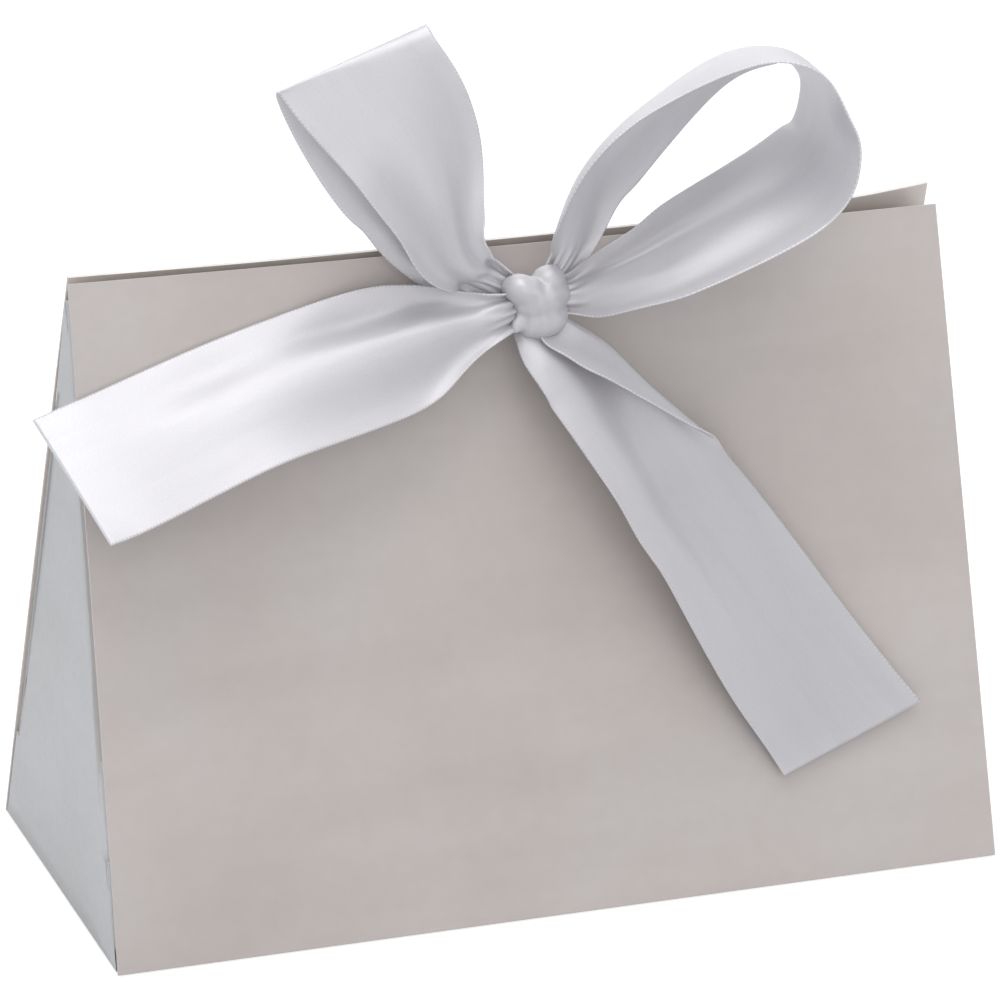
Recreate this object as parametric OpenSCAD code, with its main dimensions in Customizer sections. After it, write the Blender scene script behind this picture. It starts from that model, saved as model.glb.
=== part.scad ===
// Tent-shaped favor box of thin pearl card, tied with a satin ribbon bow.
// The base lies on XY with its underside at z = 0 and its centre at the origin.
// The front panel, which carries the bow, faces -Y and the width runs along X.

/* [Box] */
// Width along the bottom crease
box_w = 150; // [120:1:190]
// Depth of the base, from front crease to back crease
base_d = 66; // [54:1:84]
// Height of the closed top edge above the base's underside
box_h = 104; // [90:1:125]
// How far each end leans in at the top edge
top_inset = 2; // [1:0.5:4]
// Gap between the inner faces of the two big panels at the top edge
top_gap = 1.6; // [1:0.1:3]
// Thickness of the card
card_t = 0.5; // [0.4:0.05:0.7]

/* [Creases] */
// Clearance between a crease's round bead and the card beside it
crease_gap = 0.1; // [0.05:0.01:0.2]
// Clearance between an end piece and the inner face of a big panel
side_gap = 0.6; // [0.5:0.05:1]

/* [Tuck tabs] */
// Width of a tuck tab, fold included
tab_w = 11; // [9:0.5:13]
// Height of a tab's lower end above the base crease
tab_foot = 17; // [15:1:22]
// Distance from a tab's upper end to the top edge
tab_head_drop = 20; // [17:1:26]
// Length of the slanted cut at each end of a tab
tab_cut = 6; // [3:0.5:8]
// Gap in the end piece above and below a tab's fold
tab_relief = 0.8; // [0.4:0.1:1.5]
// Radius of the soft fold beside the front panel
front_fold_r = 3.2; // [2:0.1:4]
// Radius of the sharper fold beside the back panel
back_fold_r = 1.4; // [1:0.1:2]
// Angle by which a tab springs away from the big panel
tab_splay = 4; // [2:0.5:6]
// Distance from the tip of an end piece to the top edge
tip_drop = 3.5; // [2.5:0.5:6]

/* [Ribbon holes] */
// Diameter of each ribbon hole
hole_d = 5; // [4.5:0.1:7]
// Distance between the two holes of a panel
hole_pitch = 10; // [9:0.5:14]
// Distance from the hole centres to the panel's top edge
hole_drop = 10; // [7:0.5:14]

/* [Ribbon] */
// Width of the ribbon
ribbon_w = 25; // [22:0.5:27]
// Thickness of the ribbon's solids
ribbon_t = 0.4; // [0.3:0.05:0.5]
// Diameter of the ribbon where it is gathered through a hole
strand_d = 4.2; // [3.6:0.1:4.3]
// Height by which the gathered strand stands behind the back panel
strand_h = 2; // [1.5:0.1:3]

/* [Knot] */
// Width of the knot along the panel
knot_w = 12.5; // [10:0.5:15]
// Height of the knot up the panel
knot_h = 11; // [9:0.5:13]
// Depth of the knot in front of the panel
knot_d = 8; // [6:0.5:9]
// Distance of the knot's centre from the middle of the panel's thickness
knot_lift = 6; // [5:0.5:7]
// Distance of the knot's centre from the box's middle
knot_shift = 0.5; // [-2:0.5:2]
// Clearance between the knot and the strands that enter it
knot_gap = 0.3; // [0.2:0.05:0.4]

/* [Hidden] */

$fn = 48;
card_colour = [0.86, 0.84, 0.82];
end_colour = [0.84, 0.85, 0.88];
tab_colour = [0.78, 0.77, 0.76];
satin_colour = [0.95, 0.95, 0.97];
satin_shade_colour = [0.88, 0.88, 0.92];

// Overrun of every cutting solid
over = 1;
// Lap by which the straight part of an outline runs into its arc
join_lap = 0.02;

// The creases are the axes of beads as thick as the card
bead_r = card_t / 2;
crease_y = base_d / 2 - bead_r;
crease_x = box_w / 2 - bead_r;
crease_z = bead_r;

// Lean of the two big panels and of the two end panels
panel_rise = box_h - crease_z;
panel_run = crease_y - top_gap / 2 - bead_r;
lean = atan(panel_run / panel_rise);
slant = norm([panel_run, panel_rise]);
end_lean = atan(top_inset / panel_rise);
edge_turn = atan(top_inset / slant);

// The base stops where it just clears the leaning card beside it
base_back_y = (bead_r + crease_gap + bead_r * sin(lean)) / cos(lean);
base_back_x = (bead_r + crease_gap + bead_r * sin(end_lean)) / cos(end_lean);

// Depths below the middle of a big panel, measured square to it
edge_depth = bead_r + side_gap;
tab_depth = edge_depth + bead_r;
function fold_mid(fold_r) = fold_r - bead_r;
function fold_depth(fold_r) = tab_depth + fold_mid(fold_r);
function end_setback(fold_r) = fold_depth(fold_r) + bead_r + crease_gap;

// Heights of a tab's lower and upper ends and of the gaps left for them in the end piece
tab_low = tab_foot / cos(lean);
tab_high = slant - tab_head_drop / cos(lean);
function notch_low(fold_r) =
    tab_foot - tab_relief - (fold_depth(fold_r) + bead_r) * sin(lean);
notch_high = panel_rise - tab_head_drop + tab_relief - edge_depth * sin(lean);

// Half depth of the box at a height, less a depth square to the panel
function half_depth(z, depth) = crease_y - z * tan(lean) - depth / cos(lean);

end_rise = (panel_rise - tip_drop) / cos(end_lean);

hole_s = slant - hole_drop;
strand_gap = (hole_d - strand_d) / 2;
parting_gap = strand_gap / 2;
knot_back = knot_lift - knot_d / 2;

// Frames of the sloping parts: X along the crease, Y up the card, Z outwards
module on_front_panel()
    translate([0, -crease_y, crease_z])
        rotate([90 - lean, 0, 0])
            children();

module on_back_panel()
    mirror([0, 1, 0])
        on_front_panel()
            children();

module on_left_end()
    translate([-crease_x, 0, crease_z])
        rotate([0, end_lean, 0])
            children();

module on_right_end()
    mirror([1, 0, 0])
        on_left_end()
            children();

// One big panel: a trapezoid with a round bead at its crease and two holes
module big_panel() {
    difference() {
        union() {
            translate([0, 0, -bead_r])
                linear_extrude(card_t)
                    polygon([[-box_w / 2, 0], [box_w / 2, 0],
                        [box_w / 2 - top_inset, slant], [-box_w / 2 + top_inset, slant]]);
            translate([-box_w / 2, 0, 0])
                rotate([0, 90, 0])
                    cylinder(h = box_w, r = bead_r);
        }
        for (side = [-1, 1])
            translate([side * hole_pitch / 2, hole_s, -bead_r - over])
                cylinder(h = card_t + 2 * over, d = hole_d);
    }
}

// Outline of half an end panel, from its crease up, beside one tab
function end_outline(side, fold_r) = [
    [side * half_depth(0, edge_depth), 0],
    [side * half_depth(notch_low(fold_r), edge_depth), notch_low(fold_r)],
    [side * half_depth(notch_low(fold_r), end_setback(fold_r)), notch_low(fold_r)],
    [side * half_depth(notch_high, end_setback(fold_r)), notch_high],
    [side * half_depth(notch_high, edge_depth), notch_high],
    [side * half_depth(end_rise, edge_depth), end_rise]];

function reversed(list) = [for (i = [len(list) - 1:-1:0]) list[i]];

// One end panel: a triangle, set back where its tabs fold inwards
module end_panel() {
    rotate([90, 0, 90])
        translate([0, 0, -bead_r])
            linear_extrude(card_t)
                polygon(concat(end_outline(-1, front_fold_r),
                    reversed(end_outline(1, back_fold_r))));
    translate([0, -half_depth(0, edge_depth), 0])
        rotate([-90, 0, 0])
            cylinder(h = 2 * half_depth(0, edge_depth), r = bead_r);
}

// Section of a tab: bead at the crease, soft fold and flat flap
module tab_profile(fold_r) {
    mid_r = fold_mid(fold_r);
    translate([0, -mid_r])
        circle(r = bead_r);
    translate([mid_r, -mid_r]) {
        intersection() {
            difference() {
                circle(r = mid_r + bead_r);
                circle(r = mid_r - bead_r);
            }
            polygon([[0, 0], [-2 * fold_r, 0], [-2 * fold_r, 2 * fold_r], [0, 2 * fold_r],
                [2 * fold_r * sin(tab_splay), 2 * fold_r * cos(tab_splay)]]);
        }
        rotate(-tab_splay)
            translate([-join_lap, mid_r - bead_r])
                square([tab_w - mid_r + join_lap, card_t]);
    }
}

// One tuck tab in the frame of the big panel that it lies behind
module tuck_tab(fold_r) {
    translate([-crease_x, 0, -tab_depth])
        rotate([0, 0, -edge_turn])
            intersection() {
                translate([0, tab_high, 0])
                    rotate([90, 0, 0])
                        linear_extrude(tab_high - tab_low)
                            tab_profile(fold_r);
                translate([0, 0, -2 * tab_w])
                    linear_extrude(4 * tab_w)
                        polygon([[-bead_r - over, tab_low], [fold_r, tab_low],
                            [tab_w + over, tab_low + tab_cut], [tab_w + over, tab_high - tab_cut],
                            [fold_r, tab_high], [-bead_r - over, tab_high]]);
            }
}

// Ribbon strips: each row of a table gives, as shares of the ribbon's width, the place
// of the strip's middle from the knot (along, up, out), the direction of one edge
// (along, up, out), the share of the width left by gathering and, in degrees, the bow
// and the pleating of the section; the last two values are the share that curls over
// and the share of the width by which that edge runs ahead, for a slanted end.
left_tail_shares = [
    [-0.29, -0.06, 0.08, 0.1, 1, -0.1, 0.36, 0, 40, 0, 0],
    [-0.45, -0.09, 0.06, -0.1, 1, -0.25, 0.48, 8, 40, 0, 0],
    [-0.67, -0.13, 0.04, -0.26, 1, -0.33, 0.76, 14, 40, 0, 0],
    [-0.92, -0.19, 0.04, -0.22, 1, -0.38, 0.94, 16, 34, 0, 0],
    [-1.38, -0.28, 0.06, -0.10, 1, -0.58, 1, 14, 26, 0, 0],
    [-1.90, -0.40, 0.10, -0.20, 1, -0.74, 1, 10, 18, 0, 0],
    [-2.42, -0.57, 0.10, -0.24, 1, -0.74, 1, 8, 9, 0, 0],
    [-2.86, -0.73, 0.08, -0.26, 1, -0.68, 1, 4, 0, 0, 0],
    [-3.13, -0.81, 0.10, -0.28, 1, -0.74, 1, 0, 0, 0, 0]];
right_tail_shares = [
    [0.06, -0.315, -0.03, 1, 0.7, -0.15, 0.43, 0, 40, 0, 0],
    [0.18, -0.34, 0.04, 1, 0.8, -0.28, 0.70, 0, 34, 0.24, 0],
    [0.37, -0.47, 0.06, 1, 0.7, -0.35, 0.90, 0, 28, 0.28, 0],
    [0.55, -0.72, 0.07, 1, 0.6, -0.43, 0.96, 8, 28, 0.20, 0],
    [0.74, -1.06, 0.04, 1, 0.6, -0.41, 0.98, 14, 30, 0.10, 0],
    [0.88, -1.34, 0, 1, 0.58, -0.38, 1, 16, 30, 0, 0],
    [1.06, -1.59, -0.02, 1, 0.55, -0.36, 1, 12, 24, 0, 0],
    [1.32, -2.01, -0.06, 1, 0.58, -0.24, 1, 6, 14, 0, 0],
    [1.58, -2.42, -0.12, 1, 0.65, -0.12, 1, 0, 4, 0, 0],
    [1.84, -2.80, -0.16, 1, 0.7, -0.02, 1, 0, 0, 0, 0.06],
    [2.01, -3.05, -0.17, 1, 0.7, 0, 1.03, 0, 0, 0, 0.26]];
left_loop_shares = [
    [-0.33, 0.20, 0.03, 1, 0.3, 0, 0.34, 0, 38, 0, 0],
    [-0.42, 0.23, 0.09, 1, 0.25, 0, 0.40, 0, 40, 0, 0],
    [-0.52, 0.30, 0.15, 1, 0.2, 0, 0.48, 0, 40, 0, 0],
    [-0.60, 0.41, 0.20, 1, 0.2, -0.02, 0.58, 6, 40, 0, 0],
    [-0.65, 0.58, 0.25, 1, 0.2, -0.05, 0.68, 10, 36, 0, 0],
    [-0.72, 0.83, 0.28, 1, 0.26, -0.08, 0.83, 12, 18, 0, 0],
    [-0.80, 1.06, 0.29, 1, 0.31, -0.04, 0.93, 14, 5, 0, -0.05],
    [-0.91, 1.27, 0.28, 1, 0.34, 0.05, 0.98, 12, 0, 0, -0.14],
    [-1.07, 1.50, 0.24, 1, 0.37, 0.12, 1, 4, 0, 0, -0.26],
    [-1.145, 1.605, 0.18, 1, 0.40, 0.06, 1.03, 0, 0, 0, -0.18],
    [-1.075, 1.49, 0.11, 1, 0.38, 0.20, 1.03, 0, 0, 0, 0],
    [-0.97, 1.26, 0.05, 1, 0.36, 0.16, 1.01, 0, 0, 0, 0],
    [-0.83, 0.97, 0, 1, 0.36, 0.08, 0.96, 0, 8, 0, 0],
    [-0.72, 0.74, -0.04, 1, 0.34, 0, 0.87, 0, 18, 0, 0],
    [-0.66, 0.55, -0.07, 1, 0.31, 0, 0.74, 0, 30, 0, 0],
    [-0.57, 0.38, -0.10, 1, 0.32, -0.05, 0.58, 0, 36, 0, 0],
    [-0.45, 0.26, -0.13, 1, 0.3, -0.1, 0.42, 0, 38, 0, 0],
    [-0.33, 0.20, -0.15, 1, 0.3, -0.1, 0.36, 0, 38, 0, 0]];
right_loop_shares = [
    [0.29, 0.02, 0.02, 0.2, -1, 0.3, 0.34, 0, 36, 0, 0],
    [0.45, 0.08, 0.13, 0, -0.6, 0.8, 0.64, 0, 34, 0, 0],
    [0.74, 0.17, 0.24, -0.07, -0.61, 1, 0.9, 0, 32, 0, 0],
    [0.90, 0.25, 0.31, -0.03, -0.65, 1, 0.98, -4, 26, 0, 0],
    [1.36, 0.46, 0.43, 0.08, -0.62, 1, 1, 0, 14, 0, 0],
    [1.59, 0.57, 0.43, 0.06, -0.62, 1, 1, 0, 8, 0, 0],
    [1.77, 0.70, 0.47, 0.08, -0.58, 1, 1, 0, 0, 0, 0],
    [1.85, 0.84, 0.52, 0.04, -0.49, 1, 1, 0, 0, 0, 0],
    [1.87, 1.00, 0.54, -0.02, -0.4, 1, 1, 0, 0, 0, 0],
    [1.84, 1.17, 0.57, -0.11, -0.22, 1, 1, 0, 0, 0, 0],
    [1.76, 1.31, 0.57, -0.18, -0.1, 1, 1, 0, 0, 0, 0],
    [1.64, 1.38, 0.55, -0.28, 0.03, 1, 1, -8, 0, 0, 0],
    [1.43, 1.41, 0.46, -0.38, 0.03, 1, 1, -20, 0, 0, 0],
    [1.17, 1.34, 0.36, -0.43, 0.08, 1, 1, -28, 0, 0, 0],
    [0.81, 1.12, 0.26, -0.57, 0.24, 1, 0.98, -32, 4, 0, 0],
    [0.55, 0.91, 0.23, -0.74, 0.3, 1, 0.95, -32, 8, 0, 0],
    [0.40, 0.72, 0.18, -0.74, 0.4, 1, 0.86, -30, 12, 0, 0],
    [0.33, 0.54, 0.11, -0.82, 0.5, 1, 0.70, -26, 16, 0, 0],
    [0.30, 0.38, 0.03, -1, 0.47, 0.75, 0.48, -16, 24, 0, 0],
    [0.26, 0.27, -0.03, -0.9, 0.4, 0.4, 0.34, -8, 30, 0, 0]];

// Columns and values of the rows above
gather_col = 6;
bow_col = 7;
pleat_col = 8;
curl_col = 9;
skew_col = 10;
pleat_waves = 1.5;
curl_turn = 174;
curl_bend_share = 0.24;
curl_full_share = 0.08;
strip_cols = 14;
strip_steps = 2;

// Smooth rows between the rows of a table
function row_at(rows, i) =
    i < 0 ? 2 * rows[0] - rows[1] :
    i >= len(rows) ? 2 * rows[len(rows) - 1] - rows[len(rows) - 2] : rows[i];
function blend_rows(a, b, c, d, t) =
    0.5 * (2 * b + (c - a) * t + (2 * a - 5 * b + 4 * c - d) * t * t
        + (3 * b - a - 3 * c + d) * t * t * t);
function smooth_rows(rows, steps) = concat(
    [for (i = [0:len(rows) - 2], j = [0:steps - 1])
        blend_rows(row_at(rows, i - 1), rows[i], rows[i + 1], row_at(rows, i + 2), j / steps)],
    [rows[len(rows) - 1]]);

function unit(v) = v / norm(v);
function place_of(row) = ribbon_w * [row[0], row[1], row[2]];
function step_along(rows, i) =
    place_of(rows[min(i + 1, len(rows) - 1)]) - place_of(rows[max(i - 1, 0)]);
function edge_of(row, along) =
    let (edge = [row[3], row[4], row[5]]) unit(edge - (edge * along) * along);

// Direction of the section at a share v of the half width, and its points
function section_turn(row, v) =
    row[bow_col] * v + row[pleat_col] * sin(180 * pleat_waves * v)
    + curl_turn * max(0, min(1, row[curl_col] / curl_full_share))
        * max(0, min(1, (v - 1 + 2 * row[curl_col]) / curl_bend_share + 1 / 2));
function col_share(k) = 2 * k / strip_cols - 1;
function section_points(row) =
    let (piece = ribbon_w * row[gather_col] / strip_cols)
    [for (k = 0, p = [0, 0]; k <= strip_cols;
        p = p + piece * [cos(section_turn(row, col_share(k + 0.5))),
            sin(section_turn(row, col_share(k + 0.5)))],
        k = k + 1) p];
function mean_of(points) = [for (p = points) 1] * points / len(points);

// One closed ring of the strip: its outer face, then its inner face backwards
function strip_ring(row, along) =
    let (edge = edge_of(row, along), out = cross(along, edge),
        section = section_points(row), middle = section[strip_cols / 2], mean = mean_of(section))
    let (faces = [for (k = [0:strip_cols])
        let (turn = section_turn(row, col_share(k)),
            p = place_of(row) + (section[k][0] - middle[0]) * edge
                + (section[k][1] - mean[1]) * out
                + row[skew_col] * ribbon_w * col_share(k) / 2 * along,
            square_off = ribbon_t / 2 * (cos(turn) * out - sin(turn) * edge))
        [p + square_off, p - square_off]])
    concat([for (f = faces) f[0]], reversed([for (f = faces) f[1]]));

// Triangles of a tube of rings, and of its two flat ends
function tube_faces(rings, sides) = [for (i = [0:rings - 2], k = [0:sides - 1])
    let (a = i * sides + k, b = i * sides + (k + 1) % sides)
    each [[a, b, b + sides], [a, b + sides, a + sides]]];
function strip_end_faces(first, sides, flip) = [for (k = [0:sides / 2 - 2])
    let (a = first + k, b = first + k + 1, c = first + sides - 2 - k, d = first + sides - 1 - k)
    each (flip ? [[a, c, b], [a, d, c]] : [[a, b, c], [a, c, d]])];

module strip(table_shares) {
    rows = smooth_rows(table_shares, strip_steps);
    sides = 2 * (strip_cols + 1);
    points = [for (i = [0:len(rows) - 1]) each strip_ring(rows[i], unit(step_along(rows, i)))];
    polyhedron(points, concat(
        tube_faces(len(rows), sides),
        strip_end_faces(0, sides, true),
        strip_end_faces((len(rows) - 1) * sides, sides, false)), convexity = 10);
}

// Place of the knot's centre on the front panel
module at_knot()
    on_front_panel()
        translate([knot_shift, hole_s, knot_lift])
            children();

// The knot: a barrel wrapped by pleated turns of ribbon, flat where it backs on the strands
knot_rings = 14;
knot_sides = 24;
knot_waist_share = 0.26;
knot_pleat_share = 0.05;
knot_pleats = 3;
knot_slant_share = 0.12;
function knot_swell(u) = 1 - knot_waist_share * u * u
    + knot_pleat_share * cos(180 * knot_pleats * u);
function knot_point(u, turn) =
    let (swell = knot_swell(u + knot_slant_share * sin(turn)))
    [u * knot_w / 2, swell * knot_h / 2 * cos(turn),
        max(swell * knot_d / 2 * sin(turn), knot_back - knot_lift + knot_gap)];

module knot_barrel() {
    points = [for (i = [0:knot_rings - 1], k = [0:knot_sides - 1])
        knot_point(2 * i / (knot_rings - 1) - 1, 360 * k / knot_sides)];
    last = (knot_rings - 1) * knot_sides;
    polyhedron(points, concat(
        tube_faces(knot_rings, knot_sides),
        [[for (k = [knot_sides - 1:-1:0]) k]],
        [[for (k = [0:knot_sides - 1]) last + k]]), convexity = 4);
}

// The gathered strands that run from the knot through the front holes
strand_reach = top_gap + 2 * hole_drop * tan(lean);
strand_draw_share = 0.66;
module front_strands()
    for (side = [-1, 1]) {
        translate([side * hole_pitch / 2, hole_s, -strand_reach])
            cylinder(h = strand_reach + bead_r + strand_gap, d = strand_d);
        hull() {
            translate([side * hole_pitch / 2, hole_s, bead_r + strand_gap])
                cylinder(h = knot_gap, d = strand_d, $fn = 32);
            translate([knot_shift + side * strand_draw_share * hole_pitch / 2, hole_s,
                    knot_back - knot_gap])
                cylinder(h = knot_gap, d = strand_d, $fn = 32);
        }
    }

// The strand behind the back panel, bridging its two holes
module back_strand() {
    for (side = [-1, 1])
        translate([side * hole_pitch / 2, hole_s, -strand_reach])
            cylinder(h = strand_reach + bead_r + knot_gap + strand_h / 2, d = strand_d);
    translate([0, 0, bead_r + knot_gap])
        hull()
            for (side = [-1, 1])
                translate([side * hole_pitch / 2, hole_s, 0]) {
                    cylinder(h = strand_h / 2, d = hole_d + strand_gap, $fn = 32);
                    cylinder(h = strand_h, d = strand_d / 2, $fn = 32);
                }
}

// Room on one side of the upright plane where the two halves of the ribbon meet
module half_room(side)
    translate([-box_w, side < 0 ? -box_w - parting_gap : parting_gap, 0])
        cube([2 * box_w, box_w, 2 * box_h]);

module base_panel()
    color(card_colour)
        translate([-crease_x + base_back_x, -crease_y + base_back_y, 0])
            cube([2 * (crease_x - base_back_x), 2 * (crease_y - base_back_y), card_t]);

module front_panel()
    color(card_colour)
        on_front_panel()
            big_panel();

module back_panel()
    color(card_colour)
        on_back_panel()
            big_panel();

module left_end_panel()
    color(end_colour)
        on_left_end()
            end_panel();

module right_end_panel()
    color(end_colour)
        on_right_end()
            end_panel();

module left_front_tab()
    color(tab_colour)
        on_front_panel()
            tuck_tab(front_fold_r);

module left_back_tab()
    color(tab_colour)
        on_back_panel()
            tuck_tab(back_fold_r);

module right_front_tab()
    color(tab_colour)
        mirror([1, 0, 0])
            on_front_panel()
                tuck_tab(front_fold_r);

module right_back_tab()
    color(tab_colour)
        mirror([1, 0, 0])
            on_back_panel()
                tuck_tab(back_fold_r);

module ribbon_knot()
    color(satin_colour)
        at_knot()
            knot_barrel();

module ribbon_left_loop()
    color(satin_colour)
        at_knot()
            strip(left_loop_shares);

module ribbon_right_loop()
    color(satin_colour)
        at_knot()
            strip(right_loop_shares);

module ribbon_left_tail()
    color(satin_colour)
        at_knot()
            strip(left_tail_shares);

module ribbon_right_tail()
    color(satin_colour)
        at_knot()
            strip(right_tail_shares);

module ribbon_front_strands()
    color(satin_shade_colour)
        intersection() {
            on_front_panel()
                front_strands();
            half_room(-1);
        }

module ribbon_back_strand()
    color(satin_shade_colour)
        intersection() {
            on_back_panel()
                back_strand();
            half_room(1);
        }

base_panel();
front_panel();
back_panel();
left_end_panel();
right_end_panel();
left_front_tab();
left_back_tab();
right_front_tab();
right_back_tab();
ribbon_knot();
ribbon_left_loop();
ribbon_right_loop();
ribbon_left_tail();
ribbon_right_tail();
ribbon_front_strands();
ribbon_back_strand();
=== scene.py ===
import math

import bmesh
import bpy
import numpy as np
from mathutils import Matrix, Vector


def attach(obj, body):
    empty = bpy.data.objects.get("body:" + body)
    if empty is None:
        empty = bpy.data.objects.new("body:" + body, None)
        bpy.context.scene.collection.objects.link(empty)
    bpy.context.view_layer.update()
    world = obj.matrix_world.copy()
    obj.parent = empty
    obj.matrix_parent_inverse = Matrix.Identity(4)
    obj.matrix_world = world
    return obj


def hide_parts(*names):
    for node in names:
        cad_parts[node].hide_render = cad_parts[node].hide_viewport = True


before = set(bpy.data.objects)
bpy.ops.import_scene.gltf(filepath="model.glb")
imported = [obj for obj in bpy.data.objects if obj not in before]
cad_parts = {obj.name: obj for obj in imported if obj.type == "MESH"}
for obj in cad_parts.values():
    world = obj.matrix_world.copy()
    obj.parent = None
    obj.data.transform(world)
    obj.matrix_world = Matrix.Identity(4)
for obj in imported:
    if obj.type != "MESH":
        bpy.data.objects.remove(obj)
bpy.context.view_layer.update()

# Sizes of the construction, in millimetres
MM = 0.001
BOX_W = 150.0
HALF_W = BOX_W / 2
BOX_H = 104.0
CARD_T = 0.5
BEAD_R = 0.25
CREASE_X = 74.75
CREASE_Y = 32.75
CREASE_Z = 0.25
SLANT = 108.4848
LEAN = math.radians(16.99012)
TOP_INSET = 2.0
END_LEAN = math.atan(TOP_INSET / (BOX_H - CREASE_Z))
EDGE_TURN = math.atan(TOP_INSET / SLANT)
EDGE_DEPTH = 0.85  # of the end pieces' sloping edges below the big panels
TAB_DEPTH = 1.1  # of the tabs' middle plane below the big panels
TAB_W = 11.0
TAB_LOW = 17.0 / math.cos(LEAN)  # foot and head of the tabs, up the card
TAB_HIGH = SLANT - 20.0 / math.cos(LEAN)
TAB_CUT = 6.0
TAB_SPLAY = math.radians(4)
TAB_THICKNESS = 0.9 * CARD_T  # the fold has pressed the card
FRONT_FOLD_R = 3.2
BACK_FOLD_R = 1.4
TIP_DROP = 3.5
HOLE_PITCH = 10.0
HOLE_S = SLANT - 10.0
RIBBON_W = 25.0
RIBBON_T = 0.28
KNOT_PLACE = (0.5, HOLE_S, 6.0)

# Angles, in degrees, past which an edge is shaded sharp
SHARP_EDGE = 35
SHARP_PANEL = 12
SHARP_RIBBON = 60
SHARP_KNOT = 70

# Distances, in metres, within which two points count as one
SAME_PLACE = 1e-6
CUT_NEAR = 1e-7
SLIVER = 2e-5


# Places on the sloping panels: u along the crease, s up the card, n outwards
def on_panel(u, s, n, side=-1):
    run = CREASE_Y - s * math.sin(LEAN) + n * math.cos(LEAN)
    rise = CREASE_Z + s * math.cos(LEAN) + n * math.sin(LEAN)
    return Vector((u, side * run, rise)) * MM


def panel_place(point, side=-1):
    run = CREASE_Y - side * point.y / MM
    rise = point.z / MM - CREASE_Z
    s = run * math.sin(LEAN) + rise * math.cos(LEAN)
    n = -run * math.cos(LEAN) + rise * math.sin(LEAN)
    return point.x / MM, s, n


# Node materials
FLECK = (0.34, 0.31, 0.29, 1)
STITCHES = 43  # along one ribbon width


def new_material(name):
    material = bpy.data.materials.new(name)
    material.use_nodes = True
    tree = material.node_tree
    surface = tree.nodes["Principled BSDF"]
    return material, tree, surface


def add(tree, kind, inputs=(), **settings):
    found = tree.nodes.new(kind)
    for key, value in settings.items():
        setattr(found, key, value)
    for key, value in dict(inputs).items():
        if isinstance(value, bpy.types.NodeSocket):
            tree.links.new(value, found.inputs[key])
        else:
            found.inputs[key].default_value = value
    return found


def ramp(tree, value, stops):
    found = add(tree, "ShaderNodeValToRGB", {"Fac": value})
    while len(found.color_ramp.elements) < len(stops):
        found.color_ramp.elements.new(0.5)
    for element, (place, colour) in zip(found.color_ramp.elements, stops):
        element.position = place
        element.color = (*colour, 1) if len(colour) == 3 else (colour[0],) * 3 + (1,)
    return found.outputs["Color"]


def noise_at(tree, coordinates, scale, detail=3.0, roughness=0.5, stretch=(1, 1, 1)):
    mapping = add(tree, "ShaderNodeMapping", {"Vector": coordinates, "Scale": stretch})
    return add(tree, "ShaderNodeTexNoise",
               {"Vector": mapping.outputs["Vector"], "Scale": scale, "Detail": detail,
                "Roughness": roughness}).outputs["Fac"]


def maths(tree, operation, a, b=0.0):
    return add(tree, "ShaderNodeMath", {0: a, 1: b}, operation=operation).outputs["Value"]


def blended(tree, share, under, over, way="MIX"):
    mix = add(tree, "ShaderNodeMix", {0: share, 6: under, 7: over},
              data_type="RGBA", blend_type=way)
    return mix.outputs[2]


def background_rays(tree):
    """1 for the rays that meet the white background: seen, passed through or mirrored."""
    rays = add(tree, "ShaderNodeLightPath").outputs
    seen = maths(tree, "MAXIMUM", rays["Is Camera Ray"], rays["Is Transmission Ray"])
    return maths(tree, "MAXIMUM", seen, rays["Is Glossy Ray"])


def pearl_card(name, tones):
    """Coated card with a faint pearl: slow warm and cool clouds, fine fibres and few flecks."""
    material, tree, surface = new_material(name)
    place = add(tree, "ShaderNodeTexCoord").outputs["Object"]
    clouds = noise_at(tree, place, scale=26, detail=3, roughness=0.5)
    streaks = noise_at(tree, place, scale=9, detail=4, roughness=0.55, stretch=(1, 1, 7))
    mottle = noise_at(tree, place, scale=340, detail=4, roughness=0.6)
    low = ramp(tree, clouds, [(0.32, tones[0]), (0.52, tones[1]), (0.7, tones[2])])
    side = ramp(tree, streaks, [(0.3, (0.94,)), (0.55, (1.0,)), (0.75, (1.035,))])
    grain = ramp(tree, mottle, [(0.25, (0.975,)), (0.75, (1.02,))])
    pearl = blended(tree, 1.0, low, side, "MULTIPLY")
    pearl = blended(tree, 1.0, pearl, grain, "MULTIPLY")
    specks = add(tree, "ShaderNodeTexVoronoi", {"Vector": place, "Scale": 75.0})
    flecks = ramp(tree, specks.outputs["Distance"], [(0.0, (0.35,)), (0.018, (0.0,))])
    tree.links.new(blended(tree, flecks, pearl, FLECK), surface.inputs["Base Color"])
    rough = ramp(tree, noise_at(tree, place, scale=900, detail=3), [(0.3, (0.42,)), (0.7, (0.54,))])
    tree.links.new(rough, surface.inputs["Roughness"])
    fibres = noise_at(tree, place, scale=2600, detail=4, roughness=0.6)
    waves = noise_at(tree, place, scale=60, detail=2)
    height = maths(tree, "ADD", maths(tree, "MULTIPLY", fibres, 0.12), waves)
    bump = add(tree, "ShaderNodeBump", {"Height": height, "Strength": 0.25, "Distance": 0.0004})
    tree.links.new(bump.outputs["Normal"], surface.inputs["Normal"])
    surface.inputs["Coat Weight"].default_value = 0.18
    surface.inputs["Coat Roughness"].default_value = 0.3
    surface.inputs["Sheen Weight"].default_value = 0.06
    return material


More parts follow.
